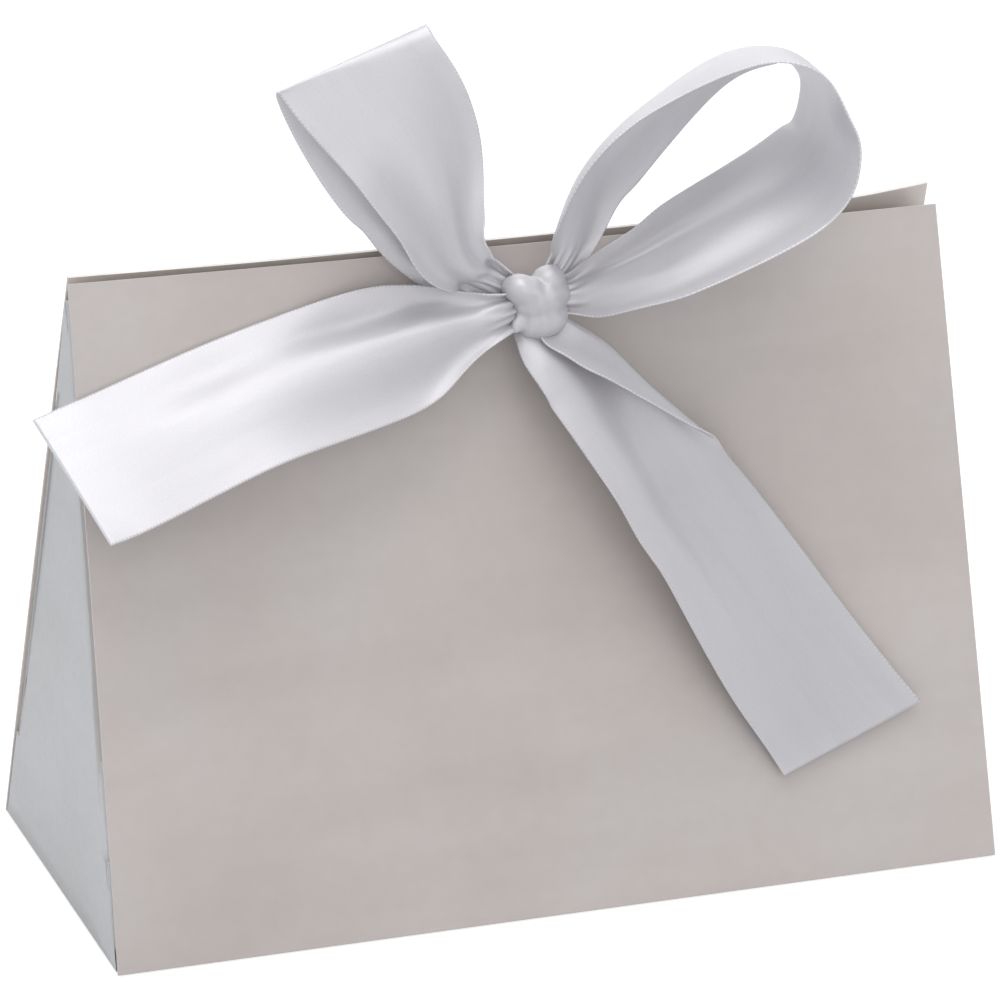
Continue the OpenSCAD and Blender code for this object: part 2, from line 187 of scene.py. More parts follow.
def board_edge():
    """The cut edge of the card: bare white board with its layers."""
    material, tree, surface = new_material("cut_board_edge")
    place = add(tree, "ShaderNodeTexCoord").outputs["Object"]
    layers = noise_at(tree, place, scale=500, detail=4, roughness=0.6, stretch=(0.2, 1, 1))
    board = ramp(tree, layers, [(0.3, (0.70, 0.665, 0.64)), (0.7, (0.82, 0.79, 0.76))])
    tree.links.new(board, surface.inputs["Base Color"])
    surface.inputs["Roughness"].default_value = 0.8
    bump = add(tree, "ShaderNodeBump", {"Height": layers, "Strength": 0.3, "Distance": 0.0002})
    tree.links.new(bump.outputs["Normal"], surface.inputs["Normal"])
    return material


def satin(name, tint):
    """Satin ribbon: long warp threads, fine weft, soft streaks and a stitched selvedge."""
    material, tree, surface = new_material(name)
    strip = add(tree, "ShaderNodeUVMap", uv_map="along_ribbon").outputs["UV"]
    parts = add(tree, "ShaderNodeSeparateXYZ", {"Vector": strip})
    across, along = parts.outputs["X"], parts.outputs["Y"]
    # 0 over most of the ribbon, 1 in the woven edge
    rim = maths(tree, "ABSOLUTE", maths(tree, "SUBTRACT", across, 0.5))
    selvedge = ramp(tree, rim, [(0.480, (0.0,)), (0.488, (1.0,))])
    stitch = maths(tree, "SINE", maths(tree, "MULTIPLY", along, STITCHES * 2 * math.pi))
    warp = noise_at(tree, strip, scale=1, detail=3, roughness=0.6, stretch=(170, 3.2, 1))
    weft = noise_at(tree, strip, scale=1, detail=2, roughness=0.5, stretch=(14, 420, 1))
    streak = noise_at(tree, strip, scale=1, detail=3, roughness=0.55, stretch=(9, 0.7, 1))
    glints = noise_at(tree, strip, scale=1, detail=2, roughness=0.7, stretch=(95, 95, 1))
    shade = ramp(tree, streak, [(0.25, tuple(0.95 * c for c in tint)), (0.75, tint)])
    threads = ramp(tree, warp, [(0.3, (0.975,)), (0.7, (1.0,))])
    # Painted glints: fine spots lighten and darken the base colour; the same noise also raises the
    # weave's bumps
    painted_glint_tone = ramp(tree, glints, [(0.3, (0.94,)), (0.7, (1.04,))])
    body = blended(tree, 1.0, shade, threads, "MULTIPLY")
    body = blended(tree, 1.0, body, painted_glint_tone, "MULTIPLY")
    edge_tone = ramp(tree, maths(tree, "MULTIPLY", maths(tree, "ADD", stitch, 1.0), 0.5),
                     [(0.1, tuple(0.88 * c for c in tint)), (0.6, tuple(1.02 * c for c in tint))])
    tree.links.new(blended(tree, selvedge, body, edge_tone), surface.inputs["Base Color"])
    rough = ramp(tree, warp, [(0.3, (0.36,)), (0.7, (0.44,))])
    tree.links.new(rough, surface.inputs["Roughness"])
    woven = maths(tree, "ADD", maths(tree, "MULTIPLY", warp, 0.7),
                  maths(tree, "MULTIPLY", weft, 0.3))
    woven = maths(tree, "ADD", woven, maths(tree, "MULTIPLY", glints, 0.6))
    raised = maths(tree, "MULTIPLY", maths(tree, "MULTIPLY", stitch, selvedge), 0.6)
    bump = add(tree, "ShaderNodeBump", {"Height": maths(tree, "ADD", woven, raised),
                                        "Strength": 0.3, "Distance": 0.0001})
    tree.links.new(bump.outputs["Normal"], surface.inputs["Normal"])
    surface.inputs["Metallic"].default_value = 0.3
    surface.inputs["Anisotropic"].default_value = 0.45
    surface.inputs["Subsurface Weight"].default_value = 0.85
    surface.inputs["Subsurface Radius"].default_value = (1.0, 1.0, 1.0)
    surface.inputs["Subsurface Scale"].default_value = 0.0012
    surface.inputs["Sheen Weight"].default_value = 0.15
    surface.inputs["Sheen Roughness"].default_value = 0.4
    tangent = add(tree, "ShaderNodeTangent", direction_type="UV_MAP", uv_map="along_ribbon")
    tree.links.new(tangent.outputs["Tangent"], surface.inputs["Tangent"])
    return material


FRONT_CARD = pearl_card("pearl_card", [
    (0.462, 0.413, 0.389), (0.487, 0.441, 0.416), (0.493, 0.457, 0.438)])
# Painted shade: the end pieces take the same card as the front, painted darker and cooler where it
# faces sideways
PAINTED_SHADE_END_CARD = pearl_card("pearl_card_end_painted_shade", [
    (0.405, 0.408, 0.405), (0.425, 0.428, 0.432), (0.448, 0.450, 0.458)])
# Painted shade: a darker, warmer copy of the card for the band where the soft fold turns away from
# the light
PAINTED_SHADE_FOLD_CARD = pearl_card("pearl_card_fold_painted_shade", [
    (0.33, 0.31, 0.30), (0.36, 0.335, 0.325), (0.38, 0.36, 0.35)])
INNER_CARD = pearl_card("card_inside", [
    (0.64, 0.58, 0.53), (0.68, 0.615, 0.565), (0.69, 0.63, 0.58)])
BOARD = board_edge()
SATIN = satin("white_satin", (0.565, 0.555, 0.575))


# Finishing of pieces
def finish_piece(name, bm, materials, body, nodes, sharp=SHARP_EDGE):
    """Make a piece of a bmesh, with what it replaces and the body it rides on."""
    mesh = bpy.data.meshes.new(name)
    for face in bm.faces:
        face.smooth = True
    bm.to_mesh(mesh)
    bm.free()
    mesh.set_sharp_from_angle(angle=math.radians(sharp))
    for material in materials:
        mesh.materials.append(material)
    piece = bpy.data.objects.new(name, mesh)
    bpy.context.scene.collection.objects.link(piece)
    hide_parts(*nodes)
    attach(piece, body)
    return piece


def thicken(piece, thickness):
    """Give a sheet its thickness; its inner side takes the next material, where there is one."""
    modifier = piece.modifiers.new("thickness", "SOLIDIFY")
    modifier.thickness = thickness * MM
    modifier.offset = 0.0
    if len(piece.data.materials) > 1:
        modifier.material_offset = 1


def held_between(x, low, high):
    return min(max(x, low), high)


def smooth_step(x):
    x = held_between(x, 0.0, 1.0)
    return x * x * (3 - 2 * x)


def cut_along(bm, place, normal):
    """Cut all faces of a bmesh along a plane, so that they can bend there."""
    bmesh.ops.bisect_plane(bm, geom=bm.verts[:] + bm.edges[:] + bm.faces[:], dist=CUT_NEAR,
                           plane_co=place, plane_no=normal)


def panel_outward(side):
    return (on_panel(0, 0, 1, side) - on_panel(0, 0, 0, side)).normalized()


# The two big panels, a little bowed as folded card is
PANEL_COLUMNS, PANEL_ROWS = 25, 18
ARCH_HALF = 78.0  # half the width over which a top edge sags
FRONT_BELLY = 0.35
FRONT_DROP, FRONT_DROP_RIGHT, FRONT_SAG = 0.67, 0.43, 0.3
LEFT_CORNER_REACH = 60.0
FRONT_LEFT_ASIDE = -0.35
BACK_CURL, BACK_CURL_FROM, BACK_CURL_REACH, BACK_CURL_LIMIT = 2.8, 35.0, 36.0, 1.2
BACK_LEFT_OUT, BACK_LEFT_FROM, BACK_LEFT_REACH = 0.3, 40.0, 35.0
BACK_SAG = 0.6
BACK_LEFT_ASIDE = 0.4
BACK_RIGHT_ASIDE, BACK_RIGHT_FROM, BACK_RIGHT_REACH = 0.85, 10.0, 80.0
EDGE_ON = 0.3  # a face that looks outwards or inwards by less than this is the card's rim
SIDEWAYS = 0.9
CREASE_END = 1.0


def at_left_corner(u):
    return 1 - smooth_step((u + HALF_W) / LEFT_CORNER_REACH)


def front_bow(u, s):
    """Bend of the front panel: millimetres outwards, up the card and to the right."""
    lift = math.sin(math.pi * held_between(s / SLANT, 0, 1)) * math.cos(math.pi * u / BOX_W)
    sag = FRONT_SAG * (1 - (u / ARCH_HALF) ** 2)
    drop = (FRONT_DROP + FRONT_DROP_RIGHT * u / HALF_W + sag) * (s / SLANT) ** 2
    aside = FRONT_LEFT_ASIDE * at_left_corner(u) * (s / SLANT) ** 2
    return FRONT_BELLY * lift, -drop, aside


def back_bow(u, s):
    """Bend of the back panel, which curls outwards at its upper right corner."""
    curl = held_between((u - BACK_CURL_FROM) / BACK_CURL_REACH, 0.0, BACK_CURL_LIMIT)
    out = BACK_CURL * curl ** 2 * (s / SLANT) ** 2
    out += BACK_LEFT_OUT * smooth_step((-u - BACK_LEFT_FROM) / BACK_LEFT_REACH) * (s / SLANT) ** 2
    drop = BACK_SAG * (s / SLANT) ** 2 * (1 - (u / ARCH_HALF) ** 2)
    aside = BACK_LEFT_ASIDE * at_left_corner(u)
    aside += BACK_RIGHT_ASIDE * smooth_step((u + BACK_RIGHT_FROM) / BACK_RIGHT_REACH)
    return out, -drop, aside * (s / SLANT) ** 2


def big_panel(name, side, bow, body):
    """A big panel from its CAD node, cut into small fields and bent a little."""
    bm = bmesh.new()
    bm.from_mesh(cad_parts[name].data)
    bmesh.ops.remove_doubles(bm, verts=bm.verts, dist=SAME_PLACE)
    up = on_panel(0, 1, 0, side) - on_panel(0, 0, 0, side)
    for step in range(1, PANEL_COLUMNS):
        cut_along(bm, ((step / PANEL_COLUMNS - 0.5) * BOX_W * MM, 0, 0), (1, 0, 0))
    for step in range(1, PANEL_ROWS):
        cut_along(bm, on_panel(0, step / PANEL_ROWS * SLANT, 0, side), up)
    outward = panel_outward(side)
    for face in bm.faces:
        facing = face.normal.dot(outward)
        s = panel_place(face.calc_center_median(), side)[1]
        rim = abs(facing) < EDGE_ON and s > CREASE_END
        # The side edges keep the pearl card, the top edge and the holes show the board
        if rim and abs(face.normal.x) < SIDEWAYS:
            face.material_index = 1
        elif facing > -EDGE_ON or s < CREASE_END:
            face.material_index = 0
        else:
            face.material_index = 2
    for vert in bm.verts:
        u, s, n = panel_place(vert.co, side)
        out, along, aside = bow(u, max(s, 0.0))
        vert.co = on_panel(u + aside, s + along, n + out, side)
    finish_piece(name + "_card", bm, [FRONT_CARD, BOARD, INNER_CARD], body, [name],
                 SHARP_PANEL)


big_panel("front_panel", -1, front_bow, "front_panel")
big_panel("back_panel", 1, back_bow, "back_panel")


# The end pieces: a triangle whose edges roll softly into the tuck tabs
FOLD_LEAST, FOLD_GAIN, FOLD_LOSS = 0.5, 4.3, 0.62
FOLD_GROWS_FROM, FOLD_GROWS_OVER = 22.0, 30.0
FOLD_SHRINKS_FROM, FOLD_SHRINKS_OVER = 62.0, 36.0
SLIT = 0.12
ROLL_LIMIT = 1.6
END_BELLY, BELLY_HEIGHT, BELLY_HALF = 0.5, 100.0, 30.0
ROLL_CUTS = (1.0, 9.0, 0.5)
END_ROW = 4
TAB_COLUMNS, TAB_ROWS = 28, 36
TAB_OUTER = 74.7
TAB_ROLL = 1.0  # what the roll of the fold adds to the tab's width
# Painted fold shade: its widest share of the tab's width, and where along the tab it begins and
# grows
PAINTED_FOLD_SHADE, SHADE_FROM, SHADE_REACH = 0.42, 0.08, 0.35


def fold_softness(s):
    """Radius of the soft fold behind the front panel, along the panel's edge."""
    grown = smooth_step((s - FOLD_GROWS_FROM) / FOLD_GROWS_OVER)
    shrunk = smooth_step((s - FOLD_SHRINKS_FROM) / FOLD_SHRINKS_OVER)
    return FOLD_LEAST + FOLD_GAIN * grown * (1 - FOLD_LOSS * shrunk)


def sharp_fold(s):
    """Radius of the fold behind the back panel, the same at every height."""
    return BACK_FOLD_R - BEAD_R


def rolled_in(depth, radius):
    """How far the card at this depth below the panel has rolled inwards."""
    start = TAB_DEPTH + radius
    if depth >= start:
        return 0.0
    drop = min(start - depth, radius)
    return radius - math.sqrt(max(radius * radius - drop * drop, 0.0))


def end_sheet(name, mirror, body):
    """An end piece, notched where its tabs begin, with a slight belly."""
    front_axis = TAB_DEPTH + FRONT_FOLD_R - BEAD_R
    back_axis = TAB_DEPTH + BACK_FOLD_R - BEAD_R
    top = (BOX_H - TIP_DROP - CREASE_Z) / math.cos(LEAN)

    def corner(s, depth, side):
        place = on_panel(0, s, -depth, side) / MM
        return Vector((0, place.y, place.z - CREASE_Z))

    outline = []
    for side, axis in ((-1, front_axis), (1, back_axis)):
        half = [corner(EDGE_DEPTH * math.tan(LEAN), EDGE_DEPTH, side),
                corner(TAB_LOW - SLIT, EDGE_DEPTH, side),
                corner(TAB_LOW - SLIT, axis, side),
                corner(TAB_HIGH + SLIT, axis, side),
                corner(TAB_HIGH + SLIT, EDGE_DEPTH, side),
                corner(top, EDGE_DEPTH, side)]
        outline += half if side < 0 else half[::-1]
    bm = bmesh.new()
    face = bm.faces.new([bm.verts.new(p * MM) for p in outline])
    bmesh.ops.triangulate(bm, faces=[face])
    crease = Vector((0, 0, CREASE_Z * MM))
    for depth in np.arange(*ROLL_CUTS):
        for side in (-1, 1):
            cut_along(bm, on_panel(0, 0, -depth, side) - crease, panel_outward(side))
    for height in range(END_ROW, int(BOX_H), END_ROW):
        cut_along(bm, (0, 0, height * MM), (0, 0, 1))
    bmesh.ops.dissolve_degenerate(bm, edges=bm.edges, dist=SLIVER)
    for vert in bm.verts:
        y, h = vert.co.y / MM, vert.co.z / MM
        _, s, n = panel_place(Vector((0, y, h + CREASE_Z)) * MM, -1)
        inward = rolled_in(-n, fold_softness(s)) if s > TAB_LOW else 0.0
        inward = min(inward, ROLL_LIMIT)
        belly = END_BELLY * math.sin(math.pi * min(h / BELLY_HEIGHT, 1.0))
        belly *= max(0.0, 1 - (y / BELLY_HALF) ** 2)
        x = -CREASE_X + h * math.sin(END_LEAN) + (inward + belly) * math.cos(END_LEAN)
        z = CREASE_Z + h * math.cos(END_LEAN) - inward * math.sin(END_LEAN)
        vert.co = Vector((mirror * x, y, z)) * MM
    bm.normal_update()
    if sum(face.normal.x for face in bm.faces) * mirror > 0:
        bmesh.ops.reverse_faces(bm, faces=bm.faces)
    # The outside takes the end card with its painted shade, the inside the inner card
    piece = finish_piece(name + "_card", bm, [PAINTED_SHADE_END_CARD, INNER_CARD], body, [name])
    thicken(piece, CARD_T)


end_sheet("left_end_panel", 1, "left_end")
end_sheet("right_end_panel", -1, "right_end")


def tuck_tab(name, side, mirror, fold_r, soft, body):
    """A tab that rolls round the soft fold and lies behind a big panel."""
    axis = TAB_DEPTH + fold_r - BEAD_R
    bm = bmesh.new()
    bmesh.ops.create_grid(bm, x_segments=TAB_COLUMNS, y_segments=TAB_ROWS, size=0.5)
    # Painted shade: where the soft fold turns away, faces take a darker, warmer copy of the card in
    # place of the fold's shadow
    for face in bm.faces:
        middle = face.calc_center_median()
        c, r = middle.x + 0.5, middle.y + 0.5
        shaded = PAINTED_FOLD_SHADE * smooth_step((r - SHADE_FROM) / SHADE_REACH)
        if soft is fold_softness and c < shaded:
            face.material_index = 2
    for vert in bm.verts:
        c, r = vert.co.x + 0.5, vert.co.y + 0.5
        reach = c * (TAB_W + TAB_ROLL)
        share = held_between((reach - fold_r) / (TAB_W - fold_r), 0.0, 1.0)
        low, high = TAB_LOW + TAB_CUT * share, TAB_HIGH - TAB_CUT * share
        s = low + (high - low) * r
        radius = soft(s)
        start = rolled_in(axis, radius)
        # Walk along the section by its length: straight, arc, flap
        turn0 = math.asin(held_between((TAB_DEPTH + radius - axis) / radius, 0.0, 1.0))
        straight = max(axis - TAB_DEPTH - radius, 0.0)
        arc = radius * (math.pi / 2 - turn0)
        if reach < straight:
            inward, depth = start, axis - reach
        elif reach < straight + arc:
            turn = turn0 + (reach - straight) / radius
            inward = radius * (1 - math.cos(turn))
            depth = TAB_DEPTH + radius * (1 - math.sin(turn))
        else:
            rest = reach - straight - arc
            inward = radius + rest * math.cos(TAB_SPLAY)
            depth = TAB_DEPTH + rest * math.sin(TAB_SPLAY)
        u = -CREASE_X + inward * math.cos(EDGE_TURN) + s * math.sin(EDGE_TURN)
        up = s * math.cos(EDGE_TURN) - inward * math.sin(EDGE_TURN)
        place = on_panel(u, up, -depth, side)
        vert.co = Vector((mirror * place.x, place.y, place.z))
    bm.normal_update()
    # The face next to the end piece has to look outwards, away from the box
    outermost = min(bm.faces, key=lambda face: abs(
        face.calc_center_median().x * mirror + TAB_OUTER * MM))
    if outermost.normal.x * mirror > 0:
        bmesh.ops.reverse_faces(bm, faces=bm.faces)
    # Outside in the end card's painted shade, inside in the inner card, the fold band in the
    # painted fold shade
    piece = finish_piece(name + "_card", bm, [PAINTED_SHADE_END_CARD, INNER_CARD, PAINTED_SHADE_FOLD_CARD], body, [name])
    thicken(piece, TAB_THICKNESS)


tuck_tab("left_front_tab", -1, 1, FRONT_FOLD_R, fold_softness, "left_front_tab")
tuck_tab("right_front_tab", -1, -1, FRONT_FOLD_R, fold_softness, "right_front_tab")
tuck_tab("left_back_tab", 1, 1, BACK_FOLD_R, sharp_fold, "left_back_tab")
tuck_tab("right_back_tab", 1, -1, BACK_FOLD_R, sharp_fold, "right_back_tab")

# The base shows its inner side when the panels are open
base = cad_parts["base_panel"]
base.data.materials.clear()
base.data.materials.append(INNER_CARD)

# The ribbon's two tails and two loops

# Each row is a station: the middle of the strip from the knot in ribbon widths (along, up,
# out), the direction of one edge, the share of the width left by the gathers, the bow and
# the pleat of the section in degrees, the share that curls over and the slant of the end
LEFT_TAIL = [
    [-0.10, -0.02, 0.02, 0.2, 1, 0, 0.26, 0, 30, 0, 0],
    [-0.29, -0.06, 0.08, 0.1, 1, -0.1, 0.36, 0, 40, 0, 0],
    [-0.45, -0.09, 0.06, -0.1, 1, -0.25, 0.48, 8, 40, 0, 0],
    [-0.67, -0.13, 0.04, -0.26, 1, -0.33, 0.76, 14, 40, 0, 0],
    [-0.92, -0.19, 0.04, -0.22, 1, -0.38, 0.91, 16, 26, 0, 0],
    [-1.38, -0.28, 0.06, -0.10, 1, -0.58, 0.96, 14, 14, 0, 0],
    [-1.90, -0.40, 0.10, -0.20, 1, -0.74, 0.98, 10, 6, 0, 0],
    [-2.42, -0.57, 0.10, -0.24, 1, -0.74, 1, 8, 2, 0, 0],
    [-2.86, -0.73, 0.08, -0.26, 1, -0.68, 1, 4, 0, 0, 0],
    [-3.13, -0.81, 0.10, -0.28, 1, -0.74, 1, 0, 0, 0, 0]]
RIGHT_TAIL = [
    [0.03, -0.03, -0.08, 0.8, 0.6, -0.2, 0.46, 0, 20, 0.3, 0],
    [0.146, -0.149, -0.02, 0.79, 0.58, -0.22, 0.73, 0, 20, 0.37, 0],
    [0.271, -0.284, 0.035, 0.86, 0.44, -0.26, 0.87, 0, 20, 0.34, 0],
    [0.402, -0.449, 0.052, 0.79, 0.55, -0.28, 0.96, 0, 22, 0.30, 0],
    [0.543, -0.751, 0.084, 0.82, 0.47, -0.29, 0.92, 6, 24, 0.19, 0],
    [0.735, -1.09, 0.06, 0.85, 0.45, -0.32, 0.93, 12, 26, 0.08, 0],
    [0.88, -1.34, 0, 1, 0.58, -0.38, 1, 16, 30, 0, 0],
    [1.06, -1.59, -0.02, 1, 0.55, -0.36, 1, 12, 24, 0, 0],
    [1.32, -2.01, -0.06, 1, 0.58, -0.24, 1, 6, 14, 0, 0],
    [1.58, -2.42, -0.12, 1, 0.65, -0.12, 1, 0, 4, 0, 0],
    [1.84, -2.80, -0.16, 1, 0.7, -0.02, 1, 0, 0, 0, 0.06],
    [2.01, -3.05, -0.17, 1, 0.7, 0, 1.03, 0, 0, 0, 0.26]]
LEFT_LOOP = [
    [-0.18, 0.11, 0.0, 1, 0.3, 0, 0.26, 0, 30, 0, 0],
    [-0.33, 0.20, 0.03, 1, 0.3, 0, 0.34, 0, 38, 0, 0],
    [-0.42, 0.23, 0.09, 1, 0.25, 0, 0.40, 0, 40, 0, 0],
    [-0.52, 0.30, 0.15, 1, 0.2, 0, 0.48, 0, 40, 0, 0],
    [-0.60, 0.41, 0.20, 1, 0.2, -0.02, 0.58, 6, 40, 0, 0],
    [-0.65, 0.58, 0.25, 1, 0.2, -0.05, 0.68, 10, 36, 0, 0],
    [-0.72, 0.83, 0.28, 1, 0.26, -0.08, 0.83, 12, 18, 0, 0],
    [-0.80, 1.06, 0.29, 1, 0.31, -0.04, 0.93, 14, 5, 0, -0.05],
    [-0.91, 1.27, 0.28, 1, 0.34, 0.05, 0.98, 12, 0, 0, -0.14],
    [-1.07, 1.515, 0.24, 1, 0.35, 0.12, 1, 4, 0, 0, -0.2],
    [-1.13, 1.64, 0.18, 1, 0.36, 0.08, 1.05, 0, 0, 0, -0.08],
    [-1.075, 1.49, 0.11, 1, 0.38, 0.20, 1.03, 0, 0, 0, 0],
    [-0.97, 1.26, 0.05, 1, 0.36, 0.16, 1.01, 0, 0, 0, 0],
    [-0.83, 0.97, 0, 1, 0.36, 0.08, 0.96, 0, 8, 0, 0],
    [-0.72, 0.74, -0.04, 1, 0.34, 0, 0.87, 0, 18, 0, 0],
    [-0.66, 0.55, -0.07, 1, 0.31, 0, 0.74, 0, 30, 0, 0],
    [-0.57, 0.38, -0.10, 1, 0.32, -0.05, 0.58, 0, 36, 0, 0],
    [-0.45, 0.26, -0.13, 1, 0.3, -0.1, 0.42, 0, 38, 0, 0],
    [-0.33, 0.20, -0.15, 1, 0.3, -0.1, 0.36, 0, 38, 0, 0],
    [-0.17, 0.10, -0.12, 1, 0.3, -0.1, 0.26, 0, 30, 0, 0]]
RIGHT_LOOP = [
    [0.14, 0.02, 0.0, 0.2, -1, 0.1, 0.26, 0, 30, 0, 0],
    [0.29, 0.02, 0.02, 0.2, -1, 0.3, 0.34, 0, 36, 0, 0],
    [0.45, 0.08, 0.13, 0, -0.6, 0.8, 0.64, 0, 34, 0, 0],
    [0.74, 0.17, 0.24, -0.07, -0.61, 1, 0.9, 0, 32, 0, 0],
    [0.90, 0.25, 0.31, -0.03, -0.65, 1, 0.98, -4, 26, 0, 0],
    [1.36, 0.46, 0.43, 0.08, -0.62, 1, 1, 0, 14, 0, 0],
    [1.59, 0.57, 0.43, 0.06, -0.62, 1, 1, 0, 8, 0, 0],
    [1.77, 0.70, 0.47, 0.08, -0.58, 1, 1, 0, 0, 0, 0],
    [1.85, 0.84, 0.52, 0.04, -0.49, 1, 1, 0, 0, 0, 0],
    [1.87, 1.00, 0.54, -0.02, -0.4, 1, 1, 0, 0, 0, 0],
    [1.84, 1.17, 0.57, -0.11, -0.22, 1, 1, 0, 0, 0, 0],
    [1.77, 1.335, 0.57, -0.18, -0.1, 1, 1, -4, 0, 0, 0],
    [1.64, 1.43, 0.55, -0.28, 0.03, 1, 1, -18, 0, 0, 0],
    [1.43, 1.455, 0.46, -0.38, 0.03, 1, 1, -32, 0, 0, 0],
    [1.17, 1.38, 0.36, -0.43, 0.08, 1, 1, -40, 0, 0, 0],
    [0.81, 1.13, 0.26, -0.57, 0.24, 1, 0.98, -42, 4, 0, 0],
    [0.55, 0.91, 0.23, -0.74, 0.3, 1, 0.95, -36, 8, 0, 0],
    [0.40, 0.72, 0.18, -0.74, 0.4, 1, 0.86, -30, 12, 0, 0],
    [0.33, 0.54, 0.11, -0.82, 0.5, 1, 0.70, -26, 16, 0, 0],
    [0.30, 0.38, 0.03, -1, 0.47, 0.75, 0.48, -16, 24, 0, 0],
    [0.26, 0.27, -0.03, -0.9, 0.4, 0.4, 0.34, -8, 30, 0, 0],
    [0.16, 0.14, -0.04, -0.9, 0.3, 0.2, 0.26, 0, 30, 0, 0]]

# Hollows pressed into a strip: place across (-1 to 1) and along (millimetres), the half size
# each way and the depth
LEFT_TAIL_HOLLOWS = [(0.55, 26.5, 0.28, 10, 1.3), (0.55, 52, 0.4, 11, 0.8)]
LEFT_LOOP_HOLLOWS = [(-0.3, 15, 0.6, 5, 0.9)]
RIGHT_LOOP_HOLLOWS = [(0.05, 17, 0.3, 10, 1.0)]

# How a section of ribbon is folded: angles in degrees, shares of the width
CURL_TURN = 174.0
CURL_BEND = 0.24
CURL_FULL = 0.08
PLEAT_REACH = 270.0
GATHER_FINE, GATHER_EASE = 0.4, 0.8
PLEATS = 4.0
PLEAT_DRIFT, DRIFT_ACROSS, DRIFT_ALONG = 0.16, 3.1, 0.05
RIBBON_COLUMNS = 72


def smooth_stations(table, steps):
    """A smooth run of stations through all rows of a table."""
    rows = [np.array(r, float) for r in table]
    ends = [2 * rows[0] - rows[1]] + rows + [2 * rows[-1] - rows[-2]]
    found = []
    for i in range(1, len(rows)):
        a, b, c, d = ends[i - 1], ends[i], ends[i + 1], ends[i + 2]
        for j in range(steps):
            t = j / steps
            found.append(0.5 * (2 * b + (c - a) * t + (2 * a - 5 * b + 4 * c - d) * t ** 2
                                + (3 * b - a - 3 * c + d) * t ** 3))
    return np.array(found + [rows[-1]])


def gather_swing(share):
    """Swing, in radians, of fine pleats that narrow a strip to this share of its width."""
    share = held_between(share, 0.2, 1.0)
    swing = 2 * math.sqrt(max(1 - share, 0.0))
    # A power series gives the share that a swing leaves; a few steps lead to the right swing
    for _ in range(6):
        value = 1 - swing ** 2 / 4 + swing ** 4 / 64 - swing ** 6 / 2304
        slope = -swing / 2 + swing ** 3 / 16 - swing ** 5 / 384
        if abs(slope) < 1e-6:
            break
        swing -= (value - share) / slope
    return swing


def section_turns(row, mid, length, phase):
    """Turn of each column of a section (bow, pleat, curl, fine pleats) and a column's width."""
    gather, bow, pleat, curl = row[6:10]
    turn = np.radians(bow * mid + pleat * np.sin(np.radians(PLEAT_REACH * mid)))
    turn += (np.radians(CURL_TURN) * np.clip(curl / CURL_FULL, 0, 1)
             * np.clip((mid - 1 + 2 * curl) / CURL_BEND + 0.5, 0, 1))
    # Close to the knot fine pleats take up the width
    packed = min((gather / GATHER_FINE) ** GATHER_EASE, 1.0)
    drift = np.sin(DRIFT_ACROSS * mid + phase + DRIFT_ALONG * length)
    waves = PLEATS * (mid + PLEAT_DRIFT * drift)
    turn += gather_swing(packed) * np.sin(math.pi * waves + phase)
    return turn, RIBBON_W * gather / packed / RIBBON_COLUMNS


def ribbon_strip(name, table, steps, even, phase, hollows, node):
    """One stretch of ribbon, shaped station by station and pleated towards the knot."""
    columns = RIBBON_COLUMNS
    stations = smooth_stations(table, steps)
    count = len(stations)
    centres = stations[:, :3] * RIBBON_W
    lengths = np.concatenate([[0], np.cumsum(np.linalg.norm(np.diff(centres, axis=0), axis=1))])
    mid = (np.arange(columns) + 0.5) / columns * 2 - 1
    share = np.arange(columns + 1) / columns * 2 - 1
    grid = np.zeros((count, columns + 1, 3))
    for i, row in enumerate(stations):
        along = centres[min(i + 1, count - 1)] - centres[max(i - 1, 0)]
        along /= np.linalg.norm(along)
        edge = row[3:6] - row[3:6].dot(along) * along
        edge /= np.linalg.norm(edge)
        out = np.cross(along, edge)
        skew = row[10]
        turn, field = section_turns(row, mid, lengths[i], phase)
        x = np.concatenate([[0], np.cumsum(field * np.cos(turn))])
        y = np.concatenate([[0], np.cumsum(field * np.sin(turn))])
        for across, far, wide, long, depth in hollows:
            q = ((share - across) / wide) ** 2 + ((lengths[i] - far) / long) ** 2
            y = y + depth * (1 - q) * np.exp(-q)
        middle = columns // 2
        grid[i] = (centres[i] + np.outer(x - x[middle], edge) + np.outer(y - y.mean(), out)
                   + np.outer(skew * RIBBON_W * share / 2, along))
    # Even out the bends along the ribbon
    for _ in range(even):
        grid[1:-1] = (grid[:-2] + 2 * grid[1:-1] + grid[2:]) / 4
    bm = bmesh.new()
    bmesh.ops.create_grid(bm, x_segments=columns, y_segments=count - 1, size=0.5)
    layer = bm.loops.layers.uv.new("along_ribbon")
    places = {}
    for vert in bm.verts:
        k = round((vert.co.x + 0.5) * columns)
        i = round((vert.co.y + 0.5) * (count - 1))
        places[vert.index] = (k / columns, lengths[i] / RIBBON_W)
        u, s, n = grid[i, k]
        vert.co = on_panel(KNOT_PLACE[0] + u, KNOT_PLACE[1] + s, KNOT_PLACE[2] + n)
    for face in bm.faces:
        for loop in face.loops:
            loop[layer].uv = places[loop.vert.index]
    piece = finish_piece(name, bm, [SATIN], "front_panel", [node], SHARP_RIBBON)
    thicken(piece, RIBBON_T)


# The knot: ribbon wrapped round the crossing, as bulges that meet in soft creases

